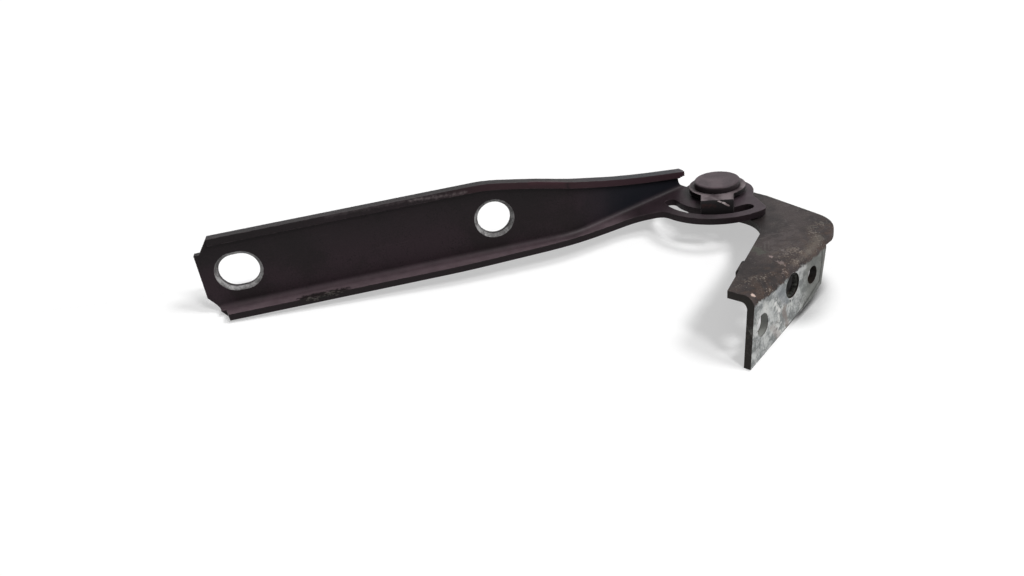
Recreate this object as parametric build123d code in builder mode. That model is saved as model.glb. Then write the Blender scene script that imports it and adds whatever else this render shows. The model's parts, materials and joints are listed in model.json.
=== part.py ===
from build123d import *
from math import asin, cos, degrees, radians, sin, sqrt, tan
import os

os.makedirs("parts", exist_ok=True)

# Bonnet hinge, millimetres, +Z up along the pivot axis.
# The origin is the middle hole of the bracket's flange, on the face that bolts to the body.
# X runs along the bonnet arm towards the pivot, as the hinge stands half open.

# Sheet
arm_sheet = 2.5
arm_bend = 2.0            # inside radius of the arm's long bend
bracket_sheet = 2.6
bracket_bend = 3.8        # outside radius of the bracket's bend
bracket_bend_fill = 2.4   # inside radius, where the press thickens the bend
running_gap = 0.05        # between faces that slide on each other

# Body bracket, drawn with its flange line along x and the pivot axis at 0, 0
opening = 36.2            # angle from the flange to the arm, nought when the bonnet is shut
face_to_pivot = 53.2      # bolted face to the pivot axis
hole_to_pivot = 38.2      # middle hole to the pivot axis, along the flange
middle_hole_drop = 7.2    # plate top down to the middle hole
boss_radius = 13.0        # plate end round the pivot
far_flank = (10.9, -15.5) # where the plate's far edge leaves the boss
far_corner = 0.2          # where the far edge would meet the bolted face
far_corner_radius = 16.5
inner_corner = (-8.6, -27.3) # of the plate's inner edge
inner_edge_slope = 16.2
inner_corner_radius = 15.5
plate_near_end = 62.6
flange_far_end = 13.8
flange_near_depth = 25.8
flange_far_depth = 16.4
flange_lean = 3.6         # how far both ends of the flange slope over its depth
flange_corner = (6.6, 2.6)
middle_hole = 9.0
far_hole = 6.6
far_hole_at = (24.3, 9.6) # from the pivot axis along the flange, and down from the plate top
near_hole = 6.6
near_hole_length = 8.2
near_hole_at = (58.1, 12.4)
lug_along = 45.0          # short lip turned down from the inner edge
lug_length = 7.0
lug_drop = 5.0
lug_proud = 1.3

# Bonnet arm, measured from the pivot axis back along the arm
arm_length = 200.0
web_front = 12.25         # pivot axis to the web's front face
web_top = 27.9            # heights are above the pivot plate's top face
web_slope_start = 97.0
web_slope = [(84.0, 26.4), (66.0, 22.8), (47.0, 16.9)]
web_end_height = 6.8
web_end = (5.0, 22.2)     # the straight part of the web's free end
web_end_top = 6.0         # how far the free end's slanted top corner reaches in
web_end_foot = 5.5        # how far its slanted bottom corner reaches in at the bend
flange_end = 6.8          # the same at the flange's front edge
wall_corner = 62.5        # where the wall turns in behind the pivot
wall_turn = 24.8
wall_turn_radius = 30.0
wall_run = 58.3
hook_under = 5.0          # underside of the wall's free tip, past the notch that relieves the bend
notch_depth = 2.9
notch_waist = (2.4, 1.8)
lip_height = 2.6
lip_proud = 1.3
flange_front = 18.9       # pivot axis to the flange's front edge at the free end
flange_taper_start = 112.0
flange_taper = [(84.0, 17.4), (61.0, 14.9), (43.0, 9.7)]
neck_along = 31.5
neck_front = 7.5
bolt_height = 13.2        # both bolt holes
bolt_hole = 12.5
bolt_bevel = 1.25
round_hole_along = 91.4
slotted_hole_along = 186.3
slotted_hole_length = 14.8

# Pivot plate of the arm, with the stop slot
disc_radius = 14.0
sector_radius = 26.0
sector_flank = 10.6       # pivot axis to the sector's right edge
sector_corner = 4.0
neck_corner = 5.0
slot_inner = 17.2
slot_outer = 22.2
slot_left = -184.5        # tips of the slot, as angles about the pivot
slot_right = -70.0

# Pivot
shoulder = 11.0
bush_wall = 1.0
thrust_sheet = 0.7
thrust_radius = 13.0
washer_play = 0.3         # round the shoulder
spring_sheet = 0.5
spring_height = 0.9
spring_radius = 9.0
stop_sheet = 1.8
stop_radius = 11.0
tab_angle = -111.6        # about the pivot
tab_width = 12.3
tab_play = 0.6            # between the tab and the slot's inner edge
tab_bend = 3.4            # outside radius
tab_root = 1.5
key_ledge = 1.0           # the key's step past the shoulder
key_play = 0.1
head_radius = 9.0
head_height = 2.5
head_edge = 0.9
tail_ledge = 1.0          # the tail's step in from the shoulder
flats_depth = 0.8         # flat cut from each side of the key and the tail
tail_washer_radius = 9.0
tail_washer_sheet = 1.6
peen_radius = 7.0
peen_height = 2.4
peen_edge = 1.6

# Levels
plate_top = middle_hole_drop
plate_under = plate_top - bracket_sheet
arm_under = plate_top + thrust_sheet + 2 * running_gap
arm_top = arm_under + arm_sheet
stop_under = arm_top + spring_height + 2 * running_gap
stop_top = stop_under + stop_sheet
tail_washer_under = plate_under - tail_washer_sheet
shoulder_bore = shoulder / 2 + washer_play
key_radius = shoulder / 2 + key_ledge
tail_radius = shoulder / 2 - tail_ledge
tab_reach = slot_inner + tab_play + stop_sheet
spare = 5.0               # stock left past an outline before it is trimmed

# The pivot axis, found from the middle hole
flange_line = Plane(Location((0, 0, 0), (0, 0, opening)))
pivot = flange_line.from_local_coords((hole_to_pivot, face_to_pivot, 0))


def about_pivot(level, turn=0):
    """Flat plane at a level with its middle on the pivot axis."""
    return Plane(Location((pivot.X, pivot.Y, level), (0, 0, turn)))


def upright(flat, along=0, across=0, turn=0):
    """Plane that stands on a flat one at a point of it: its x lies in the flat one, its y is up."""
    return Plane(flat.location * Location((along, across, 0), (0, 0, turn)) * Location((0, 0, 0), (90, 0, 0)))


def wall_line(forward):
    """Plan of the arm's wall, so far in front of its front face: from past its free end to the pivot."""
    across = -web_front - forward
    corner = -wall_corner + forward * tan(radians(wall_turn / 2))
    end = (corner + wall_run * cos(radians(wall_turn)), across + wall_run * sin(radians(wall_turn)))
    return [(-arm_length - spare, across), (corner, across), end]


def web_top_edge(lowered):
    """Side view of the web's top edge, level along the bolt holes and sloping down to the pivot."""
    level = Line((-arm_length + web_end_top, web_top - lowered), (-web_slope_start, web_top - lowered))
    points = [level @ 1]
    points += [(-along, height - lowered) for along, height in web_slope]
    points += [(wall_line(0)[2][0], web_end_height - lowered)]
    slope = Spline(points, tangents=[(1, 0), (1, -0.25)])
    return level @ 0, slope @ 1


def double_d(radius, play=0):
    """Round section with two flats, or the hole that takes it with some play."""
    Circle(radius + play)
    Rectangle(2 * (radius + play), 2 * (radius - flats_depth + play), mode=Mode.INTERSECT)


# Body bracket: a plate with a flange turned down, cut from one angle
with BuildPart() as body_bracket:
    with BuildSketch(upright(about_pivot(plate_top, opening), turn=-90)) as angle:
        with Locations((face_to_pivot, 0)):
            Rectangle(face_to_pivot + boss_radius, bracket_sheet, align=(Align.MAX, Align.MAX))
            Rectangle(bracket_sheet, flange_near_depth, align=(Align.MAX, Align.MAX))
        outside = angle.vertices().sort_by_distance((face_to_pivot, 0))[0]
        fillet(outside, bracket_bend)
        inside = angle.vertices().sort_by_distance((face_to_pivot - bracket_sheet, -bracket_sheet))[0]
        fillet(inside, bracket_bend_fill)
    near_reach = plate_near_end + flange_lean
    extrude(amount=near_reach, both=True)
    with BuildSketch(about_pivot(plate_top, opening)) as plan:
        inner_fall = (near_reach + inner_corner[0]) * tan(radians(inner_edge_slope))
        with BuildLine():
            Polyline(
                (-boss_radius, 0),
                inner_corner,
                (-near_reach, inner_corner[1] - inner_fall),
                (-near_reach, -face_to_pivot),
                (far_corner, -face_to_pivot),
                far_flank,
                (boss_radius * 0.95, -boss_radius * 0.3),
                close=True,
            )
        make_face()
        Circle(boss_radius)
        fillet(plan.vertices().sort_by_distance((far_corner, -face_to_pivot))[0], far_corner_radius)
        fillet(plan.vertices().sort_by_distance(inner_corner)[0], inner_corner_radius)
    extrude(amount=-flange_near_depth, mode=Mode.INTERSECT)
    face_side = upright(about_pivot(plate_top, opening), across=-face_to_pivot)
    with BuildSketch(face_side):
        with BuildLine():
            foot = -flange_far_end - flange_lean
            Polyline(
                (boss_radius, 0),
                (boss_radius, -bracket_sheet),
                (-flange_far_end, -bracket_sheet),
                (foot, -flange_far_depth),
                (foot - flange_corner[0], -flange_far_depth - flange_corner[1]),
                (-near_reach, -flange_near_depth),
                (-plate_near_end, 0),
                close=True,
            )
        make_face()
    extrude(amount=-face_to_pivot - boss_radius, mode=Mode.INTERSECT)
    with BuildSketch(face_side):
        with Locations((-hole_to_pivot, -middle_hole_drop)):
            Circle(middle_hole / 2)
        with Locations((-far_hole_at[0], -far_hole_at[1])):
            Circle(far_hole / 2)
        with Locations((-near_hole_at[0], -near_hole_at[1])):
            SlotOverall(near_hole_length, near_hole, rotation=90)
    extrude(amount=-bracket_sheet, mode=Mode.SUBTRACT)
    lug_out = -inner_corner[1] + (lug_along + inner_corner[0]) * tan(radians(inner_edge_slope))
    with BuildSketch(upright(about_pivot(plate_top, opening), -lug_along, -lug_out, 90 + inner_edge_slope)) as lug:
        with Locations((lug_proud, 0)):
            Rectangle(bracket_sheet, lug_drop, align=(Align.MAX, Align.MAX))
        fillet(lug.vertices().sort_by_distance((lug_proud, 0))[0], lug_proud * 0.95)
    extrude(amount=lug_length / 2, both=True)
    with BuildSketch(about_pivot(plate_top, opening)):
        double_d(tail_radius, key_play)
    extrude(amount=-bracket_sheet, mode=Mode.SUBTRACT)

# Lip along the arm's top edge
arm_rear = upright(about_pivot(arm_top), across=sector_radius)
with BuildPart() as top_lip:
    with BuildSketch(about_pivot(arm_top)):
        with BuildLine():
            FilletPolyline(*wall_line(lip_proud), radius=wall_turn_radius + lip_proud)
            offset(amount=lip_proud + arm_sheet / 2, side=Side.LEFT)
        make_face()
    extrude(amount=web_top + spare)
    with BuildSketch(arm_rear):
        with BuildLine():
            top_ends = web_top_edge(0)
            low_ends = web_top_edge(lip_height)
            Line(top_ends[0], low_ends[0])
            Line(top_ends[1], low_ends[1])
        make_face()
    extrude(amount=2 * sector_radius, mode=Mode.INTERSECT)

# Bonnet arm: web and bend swept along the wall, then the flange and pivot plate
with BuildPart() as bonnet_arm:
    with BuildLine(about_pivot(arm_top)):
        FilletPolyline(*wall_line(0), radius=wall_turn_radius)
    leg = 1.2 * arm_bend
    with BuildSketch(upright(about_pivot(arm_top), -arm_length - spare, -web_front, 90)) as section:
        with Locations((arm_sheet, -arm_sheet)):
            Rectangle(arm_sheet, arm_sheet + web_top + spare, align=(Align.MAX, Align.MIN))
            Rectangle(leg + arm_sheet, arm_sheet, align=(Align.MAX, Align.MIN))
        fillet(section.vertices().sort_by_distance((arm_sheet, -arm_sheet))[0], arm_bend + arm_sheet)
        fillet(section.vertices().sort_by_distance((0, 0))[0], arm_bend)
    sweep()
    with BuildSketch(arm_rear):
        with BuildLine():
            ends = web_top_edge(0)
            Polyline(
                ends[1],
                (spare, web_end_height),
                (spare, -arm_sheet - spare),
                (-arm_length + web_end_foot, -arm_sheet - spare),
                (-arm_length + web_end_foot, -arm_sheet),
                (-arm_length, web_end[0]),
                (-arm_length, web_end[1]),
                (-arm_length + web_end_top / 3, web_end[1]),
                ends[0],
            )
        make_face()
    extrude(amount=2 * sector_radius, mode=Mode.INTERSECT)
    with BuildSketch(about_pivot(arm_under)) as plate:
        with BuildLine():
            seam = 1.1 * arm_bend
            rear = wall_line(seam)
            foot = (-arm_length + web_end_foot, rear[0][1])
            FilletPolyline(foot, rear[1], rear[2], radius=wall_turn_radius + seam)
            edge = [(-flange_taper_start, -flange_front)]
            edge += [(-along, -front) for along, front in flange_taper]
            edge += [(-neck_along, -neck_front)]
            taper = Spline(edge, tangents=[(1, 0), (1, 0)])
            Polyline(
                taper @ 1,
                (-slot_outer, -neck_front),
                (0, 0),
                rear[2],
            )
            Polyline(foot, (-arm_length + flange_end, -flange_front), taper @ 0)
        make_face()
        with BuildLine():
            Polyline(
                rear[2],
                (sector_flank, 0),
                (sector_flank, -sector_radius),
                (-sector_radius, -sector_radius),
                (-sector_radius, 0),
                close=True,
            )
        sector = make_face(mode=Mode.PRIVATE)
        add(sector & Circle(sector_radius, mode=Mode.PRIVATE))
        Circle(disc_radius)
        corners = [
            (sector_flank, -sqrt(sector_radius**2 - sector_flank**2), sector_corner),
            (-sqrt(sector_radius**2 - neck_front**2), -neck_front, neck_corner),
            (sector_flank, -sqrt(disc_radius**2 - sector_flank**2), neck_corner),
        ]
        for along, across, radius in corners:
            fillet(plate.vertices().sort_by_distance((along, across))[0], radius)
    extrude(amount=arm_sheet)
    add(top_lip.part)
    with BuildSketch(about_pivot(arm_under)):
        Circle(shoulder / 2 + running_gap + bush_wall)
        slot_width = slot_outer - slot_inner
        slot_middle = (slot_outer + slot_inner) / 2
        slot_end = degrees(asin(slot_width / 2 / slot_middle))
        with BuildLine():
            slot_run = slot_right - slot_left - 2 * slot_end
            slot_line = CenterArc((0, 0), slot_middle, slot_left + slot_end, slot_run)
        trace(line_width=slot_width)
        with Locations(slot_line @ 0, slot_line @ 1):
            Circle(slot_width / 2)
    extrude(amount=arm_sheet, mode=Mode.SUBTRACT)
    front_face = upright(about_pivot(arm_top), across=-web_front)
    with BuildSketch(front_face) as bolt_holes:
        with Locations((-round_hole_along, bolt_height)):
            Circle(bolt_hole / 2)
        with Locations((-slotted_hole_along, bolt_height)):
            SlotOverall(slotted_hole_length, bolt_hole)
    extrude(amount=-arm_sheet, mode=Mode.SUBTRACT)
    with BuildSketch(front_face):
        add(bolt_holes.sketch_local)
        offset(amount=bolt_bevel)
    extrude(amount=-bolt_bevel, taper=45, mode=Mode.SUBTRACT)
    wall_end = wall_line(0)[2]
    with BuildSketch(upright(about_pivot(arm_top), *wall_end, wall_turn)):
        with BuildLine():
            ThreePointArc((-notch_depth, hook_under), (-notch_waist[0], notch_waist[1]), (0, 0))
            Polyline((0, 0), (spare, 0), (spare, hook_under), (-notch_depth, hook_under))
        make_face()
    extrude(amount=2 * arm_sheet, both=True, mode=Mode.SUBTRACT)

# Bush pressed into the arm
with BuildPart() as pivot_bush:
    with BuildSketch(about_pivot(arm_under)):
        Circle(shoulder / 2 + running_gap + bush_wall)
        Circle(shoulder / 2 + running_gap, mode=Mode.SUBTRACT)
    extrude(amount=arm_sheet)

# Thrust washer between the two sheets
with BuildPart() as thrust_washer:
    with BuildSketch(about_pivot(plate_top + running_gap)):
        Circle(thrust_radius)
        Circle(shoulder_bore, mode=Mode.SUBTRACT)
    extrude(amount=thrust_sheet)

# Bowed spring washer under the stop washer
with BuildPart() as spring_washer:
    with BuildSketch(upright(about_pivot(arm_top + running_gap))):
        with BuildLine():
            ThreePointArc((-spring_radius, 0), (0, spring_height - spring_sheet), (spring_radius, 0))
            offset(amount=spring_sheet, side=Side.LEFT)
        make_face()
    extrude(amount=spring_radius, both=True)
    with BuildSketch(about_pivot(arm_top + running_gap)):
        Circle(spring_radius)
        Circle(shoulder_bore, mode=Mode.SUBTRACT)
    extrude(amount=spring_height, mode=Mode.INTERSECT)

# Stop washer, keyed to the rivet, with its tab turned down into the arm's slot
with BuildPart() as stop_washer:
    with BuildSketch(about_pivot(stop_under, tab_angle)) as blank:
        Circle(stop_radius)
        Rectangle(tab_reach - tab_bend, tab_width, align=(Align.MIN, Align.CENTER))
        root = (stop_radius * cos(asin(tab_width / 2 / stop_radius)), tab_width / 2)
        for side in (1, -1):
            fillet(blank.vertices().sort_by_distance((root[0], side * root[1]))[0], tab_root)
    extrude(amount=stop_sheet)
    with BuildSketch(upright(about_pivot(stop_top, tab_angle))) as tab:
        with Locations((tab_reach, 0)):
            Rectangle(tab_bend + stop_sheet, stop_sheet, align=(Align.MAX, Align.MAX))
            Rectangle(stop_sheet, stop_top - arm_under, align=(Align.MAX, Align.MAX))
        fillet(tab.vertices().sort_by_distance((tab_reach, 0))[0], tab_bend)
        fillet(tab.vertices().sort_by_distance((tab_reach - stop_sheet, -stop_sheet))[0], tab_bend - stop_sheet)
    extrude(amount=tab_width / 2, both=True)
    with BuildSketch(about_pivot(stop_under, tab_angle)):
        double_d(key_radius, key_play)
    extrude(amount=stop_sheet, mode=Mode.SUBTRACT)

# Rivet: head, key for the stop washer, shoulder, and a tail with flats
with BuildPart() as pivot_rivet:
    with BuildSketch(about_pivot(stop_top)):
        Circle(head_radius)
    extrude(amount=head_height)
    fillet(pivot_rivet.edges().group_by(Axis.Z)[-1], head_edge)
    with BuildSketch(about_pivot(stop_under, tab_angle)):
        double_d(key_radius)
    extrude(amount=stop_sheet)
    with BuildSketch(about_pivot(plate_top)):
        Circle(shoulder / 2)
    extrude(amount=stop_under - plate_top)
    with BuildSketch(about_pivot(tail_washer_under, opening)):
        double_d(tail_radius)
    extrude(amount=plate_top - tail_washer_under)
    with BuildSketch(about_pivot(tail_washer_under)):
        Circle(peen_radius)
    extrude(amount=-peen_height)
    fillet(pivot_rivet.edges().group_by(Axis.Z)[0], peen_edge)

# Washer that the tail is peened over
with BuildPart() as tail_washer:
    with BuildSketch(about_pivot(tail_washer_under)):
        Circle(tail_washer_radius)
        Circle(tail_radius + key_play, mode=Mode.SUBTRACT)
    extrude(amount=tail_washer_sheet)

bonnet_arm.part.label = "bonnet_arm"
body_bracket.part.label = "body_bracket"
pivot_rivet.part.label = "pivot_rivet"
stop_washer.part.label = "stop_washer"
spring_washer.part.label = "spring_washer"
pivot_bush.part.label = "pivot_bush"
thrust_washer.part.label = "thrust_washer"
tail_washer.part.label = "tail_washer"

export_step(bonnet_arm.part, "parts/bonnet_arm.step")
export_step(body_bracket.part, "parts/body_bracket.step")
export_step(pivot_rivet.part, "parts/pivot_rivet.step")
export_step(stop_washer.part, "parts/stop_washer.step")
export_step(spring_washer.part, "parts/spring_washer.step")
export_step(pivot_bush.part, "parts/pivot_bush.step")
export_step(thrust_washer.part, "parts/thrust_washer.step")
export_step(tail_washer.part, "parts/tail_washer.step")
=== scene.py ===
import bpy
import bmesh
import json
import math
import random
from mathutils import Matrix, Vector, noise


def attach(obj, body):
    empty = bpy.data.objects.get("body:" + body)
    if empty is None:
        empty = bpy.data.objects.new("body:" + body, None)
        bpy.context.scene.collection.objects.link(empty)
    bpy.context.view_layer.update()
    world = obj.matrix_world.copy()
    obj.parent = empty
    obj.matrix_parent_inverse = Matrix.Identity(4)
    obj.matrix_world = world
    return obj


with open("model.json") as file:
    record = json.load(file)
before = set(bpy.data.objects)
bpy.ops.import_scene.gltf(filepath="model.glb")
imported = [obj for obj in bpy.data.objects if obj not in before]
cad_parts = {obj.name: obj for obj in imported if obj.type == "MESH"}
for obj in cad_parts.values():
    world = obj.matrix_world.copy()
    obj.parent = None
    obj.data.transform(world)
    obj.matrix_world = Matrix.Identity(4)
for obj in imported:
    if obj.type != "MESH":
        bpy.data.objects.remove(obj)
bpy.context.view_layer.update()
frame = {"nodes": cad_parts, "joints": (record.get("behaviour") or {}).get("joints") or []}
nodes = frame["nodes"]
print("hinge loaded:", ", ".join(sorted(nodes)))

# places are in metres, with the pivot axis upright and the arm along x; shaders and small pieces count in mm
pivot = Vector(frame["joints"][0]["pos_m"])
mm = 0.001
# the bracket's bolted face looks this way, and its flange runs this way towards the far hole
flangeOut = (0.5906, -0.807, 0.0)
flangeAlong = (0.807, 0.5906, 0.0)


# shader helpers

def fill(tree, node, sockets):
    for name, value in sockets.items():
        if isinstance(value, bpy.types.NodeSocket):
            tree.links.new(value, node.inputs[name])
        else:
            node.inputs[name].default_value = value
    return node


def wire(tree, kind, sockets={}, **settings):
    node = tree.nodes.new("ShaderNode" + kind)
    for name, value in settings.items():
        setattr(node, name, value)
    return fill(tree, node, sockets)


def maths(tree, operation, first, second=0.0, third=None, clamp=False):
    values = {0: first, 1: second}
    if third is not None:
        values[2] = third
    return wire(tree, "Math", values, operation=operation, use_clamp=clamp).outputs[0]


def ramp(tree, value, low, high, start=0.0, end=1.0, smooth=True):
    return wire(tree, "MapRange", {"Value": value, "From Min": low, "From Max": high, "To Min": start, "To Max": end},
                interpolation_type="SMOOTHSTEP" if smooth else "LINEAR").outputs["Result"]


def tint(tree, amount, below, above):
    # colours laid over each other: below where amount is 0, above where it is 1
    mix = wire(tree, "Mix", data_type="RGBA")
    for slot, value in ((0, amount), (6, below), (7, above)):
        if isinstance(value, bpy.types.NodeSocket):
            tree.links.new(value, mix.inputs[slot])
        elif slot == 0:
            mix.inputs[slot].default_value = value
        else:
            mix.inputs[slot].default_value = (*value, 1.0)
    return mix.outputs[2]


def band(tree, value, low, high, soft):
    # 1 between low and high, 0 outside
    rise = ramp(tree, value, low - soft, low + soft)
    return maths(tree, "MULTIPLY", rise, ramp(tree, value, high + soft, high - soft))


def times(tree, *values):
    result = values[0]
    for value in values[1:]:
        result = maths(tree, "MULTIPLY", result, value)
    return result


def dot(tree, first, second):
    return wire(tree, "VectorMath", {0: first, 1: second}, operation="DOT_PRODUCT").outputs["Value"]


def gapTo(tree, place, spot):
    return wire(tree, "VectorMath", {0: place, 1: spot}, operation="DISTANCE").outputs["Value"]


def faceTurn(tree):
    # the way the surface faces, in the object's own frame
    return wire(tree, "SeparateXYZ", {"Vector": wire(tree, "TexCoord").outputs["Normal"]}).outputs


def noiseAt(tree, place, scale, detail=4.0, roughness=0.55, distortion=0.0):
    return wire(tree, "TexNoise", {"Vector": place, "Scale": scale, "Detail": detail, "Roughness": roughness,
                                   "Distortion": distortion}).outputs["Fac"]


def newGroup(name, inputs, outputs):
    tree = bpy.data.node_groups.new(name, "ShaderNodeTree")
    for label, value in inputs.items():
        if isinstance(value, tuple):
            kind = "NodeSocketColor" if len(value) == 4 else "NodeSocketVector"
        else:
            kind = "NodeSocketFloat"
        tree.interface.new_socket(label, in_out="INPUT", socket_type=kind).default_value = value
    for label, kind in outputs.items():
        tree.interface.new_socket(label, in_out="OUTPUT", socket_type="NodeSocket" + kind)
    return tree, tree.nodes.new("NodeGroupInput").outputs, tree.nodes.new("NodeGroupOutput").inputs


def useGroup(tree, group, sockets):
    node = tree.nodes.new("ShaderNodeGroup")
    node.node_tree = group
    return fill(tree, node, sockets).outputs


# shared effects, as node groups

def makeMark():
    # a mark with ragged sides along a line from one place to another, all in mm
    tree, got, out = newGroup("markAlongLine", {
        "Place": (0.0, 0.0, 0.0), "From": (0.0, 0.0, 0.0), "To": (0.0, 0.0, 0.0),
        "Reach": 1.0, "Feather": 0.3, "Ragged": 0.5, "Grain": 1.0}, {"Mask": "Float"})
    line = wire(tree, "VectorMath", {0: got["To"], 1: got["From"]}, operation="SUBTRACT").outputs[0]
    fromStart = wire(tree, "VectorMath", {0: got["Place"], 1: got["From"]}, operation="SUBTRACT").outputs[0]
    share = maths(tree, "DIVIDE", dot(tree, fromStart, line), dot(tree, line, line), clamp=True)
    nearest = wire(tree, "VectorMath", {0: line, "Scale": share}, operation="SCALE").outputs[0]
    rough = noiseAt(tree, got["Place"], got["Grain"], 5.0, 0.6)
    rough = maths(tree, "MULTIPLY", maths(tree, "SUBTRACT", rough, 0.5), got["Ragged"])
    gap = maths(tree, "ADD", gapTo(tree, fromStart, nearest), maths(tree, "MULTIPLY", rough, 2.0))
    inner = maths(tree, "SUBTRACT", got["Reach"], got["Feather"])
    outer = maths(tree, "ADD", got["Reach"], got["Feather"])
    tree.links.new(ramp(tree, gap, inner, outer, 1.0, 0.0), out["Mask"])
    return tree


def makeEdgeWear():
    # outer edges rubbed through, from the angle between the true face and a rounded one
    tree, got, out = newGroup("edgeWear", {
        "Place": (0.0, 0.0, 0.0), "Width": 0.6, "Patchiness": 0.6, "Grain": 0.6},
        {"Mask": "Float", "Hollow": "Float"})
    radius = maths(tree, "MULTIPLY", got["Width"], mm)
    rounded = wire(tree, "Bevel", {"Radius": radius}, samples=8).outputs[0]
    face = wire(tree, "NewGeometry").outputs["Normal"]
    edge = ramp(tree, dot(tree, rounded, face), 0.995, 0.86, 0.0, 1.0)
    # painted shade and grime: the Hollow output darkens hollows and inside corners from the ambient occlusion
    hollow = wire(tree, "AmbientOcclusion", {"Distance": 0.0022}, samples=8).outputs["AO"]
    hollow = ramp(tree, hollow, 0.92, 0.45, 0.0, 1.0)
    patch = noiseAt(tree, got["Place"], got["Grain"], 6.0, 0.62)
    patch = ramp(tree, maths(tree, "ADD", patch, maths(tree, "MULTIPLY", got["Patchiness"], -0.25)), 0.28, 0.5)
    mask = maths(tree, "MULTIPLY", edge, patch)
    mask = maths(tree, "MULTIPLY", mask, maths(tree, "SUBTRACT", 1.0, hollow), clamp=True)
    tree.links.new(mask, out["Mask"])
    tree.links.new(hollow, out["Hollow"])
    return tree


def makeMottle():
    # two colours that drift into each other, with a fine speckle on top
    tree, got, out = newGroup("mottle", {
        "Place": (0.0, 0.0, 0.0), "Dark": (0.0, 0.0, 0.0, 1.0), "Light": (1.0, 1.0, 1.0, 1.0),
        "Drift": 0.05, "Grain": 1.2, "Speckle": 0.3}, {"Color": "Color", "Fleck": "Float"})
    drift = noiseAt(tree, got["Place"], got["Drift"], 3.0, 0.5, 0.4)
    drift = ramp(tree, drift, 0.36, 0.64)
    fleck = noiseAt(tree, got["Place"], got["Grain"], 3.0, 0.7)
    fleck = ramp(tree, fleck, 0.3, 0.7, -1.0, 1.0, smooth=False)
    amount = maths(tree, "ADD", drift, maths(tree, "MULTIPLY", fleck, got["Speckle"]), clamp=True)
    tree.links.new(tint(tree, amount, got["Dark"], got["Light"]), out["Color"])
    tree.links.new(fleck, out["Fleck"])
    return tree


def makeScratches():
    # fine lines that run one way, turned about the upright axis and tipped
    tree, got, out = newGroup("scratches", {
        "Place": (0.0, 0.0, 0.0), "Turn": (0.0, 0.0, 0.0), "Spacing": 0.7, "Length": 14.0, "Amount": 0.5},
        {"Mask": "Float"})
    turned = wire(tree, "VectorRotate", {"Vector": got["Place"], "Rotation": got["Turn"]},
                  rotation_type="EULER_XYZ").outputs[0]
    shrink = maths(tree, "DIVIDE", 1.0, got["Length"])
    closeness = maths(tree, "DIVIDE", 1.0, got["Spacing"])
    stretch = wire(tree, "CombineXYZ", {"X": shrink, "Y": closeness, "Z": closeness}).outputs[0]
    drawn = wire(tree, "VectorMath", {0: turned, 1: stretch}, operation="MULTIPLY").outputs[0]
    lines = noiseAt(tree, drawn, 1.0, 3.0, 0.75, 0.15)
    lines = ramp(tree, lines, 0.62, 0.72)
    broken = ramp(tree, noiseAt(tree, got["Place"], 0.12, 3.0, 0.6), 0.42, 0.62)
    tree.links.new(maths(tree, "MULTIPLY", maths(tree, "MULTIPLY", lines, broken), got["Amount"]), out["Mask"])
    return tree


def makeFreckles():
    # small dark or rusty dots, thick in some places and none in others
    tree, got, out = newGroup("freckles", {
        "Place": (0.0, 0.0, 0.0), "Size": 1.0, "Thickness": 0.5, "Patch": 0.06}, {"Mask": "Float"})
    closeness = maths(tree, "DIVIDE", 1.0, got["Size"])
    dots = wire(tree, "TexVoronoi", {"Vector": got["Place"], "Scale": closeness, "Randomness": 1.0},
                feature="F1").outputs["Distance"]
    jitter = noiseAt(tree, got["Place"], maths(tree, "MULTIPLY", closeness, 2.2), 4.0, 0.6)
    dots = maths(tree, "ADD", dots, maths(tree, "MULTIPLY", maths(tree, "SUBTRACT", jitter, 0.5), 0.6))
    where = noiseAt(tree, got["Place"], got["Patch"], 4.0, 0.6)
    limit = maths(tree, "MULTIPLY", ramp(tree, where, 0.4, 0.7), got["Thickness"])
    mask = ramp(tree, maths(tree, "SUBTRACT", dots, limit), 0.06, -0.06)
    tree.links.new(mask, out["Mask"])
    return tree


markGroup = makeMark()
edgeGroup = makeEdgeWear()
mottleGroup = makeMottle()
scratchGroup = makeScratches()
freckleGroup = makeFreckles()
print("shared effects: marks, edge wear, mottle, scratches, freckles")


# materials

def newFinish(name):
    material = bpy.data.materials.new(name)
    material.use_nodes = True
    tree = material.node_tree
    shader = tree.nodes["Principled BSDF"]
    spot = wire(tree, "TexCoord").outputs["Object"]
    place = wire(tree, "VectorMath", {0: spot, "Scale": 1000.0}, operation="SCALE").outputs[0]
    return material, tree, shader, place


def layMarks(tree, place, colour, marks):
    # each mark: from, to, reach, feather, ragged, grain, strength, colour
    for start, end, reach, feather, ragged, grain, strength, shade in marks:
        mask = useGroup(tree, markGroup, {"Place": place, "From": start, "To": end, "Reach": reach,
                                          "Feather": feather, "Ragged": ragged, "Grain": grain})["Mask"]
        colour = tint(tree, maths(tree, "MULTIPLY", mask, strength), colour, shade)
    return colour


def sheetEdge(tree, width, samples=6):
    # rounds the sheared edge in the shading only
    return wire(tree, "Bevel", {"Radius": width * mm}, samples=samples).outputs[0]


def roughFrom(tree, grain, level, below=0.06, above=0.1):
    # the roughness drifts from a little below its level to a little above it
    return ramp(tree, grain, 0.3, 0.7, level - below, level + above, smooth=False)


def finishSurface(tree, shader, colour, roughness, height, bump=0.05, edge=0.3):
    tree.links.new(colour, shader.inputs["Base Color"])
    tree.links.new(roughness, shader.inputs["Roughness"])
    relief = wire(tree, "Bump", {"Height": height, "Distance": bump * mm, "Strength": 1.0,
                                 "Normal": sheetEdge(tree, edge)}).outputs[0]
    tree.links.new(relief, shader.inputs["Normal"])


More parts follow.
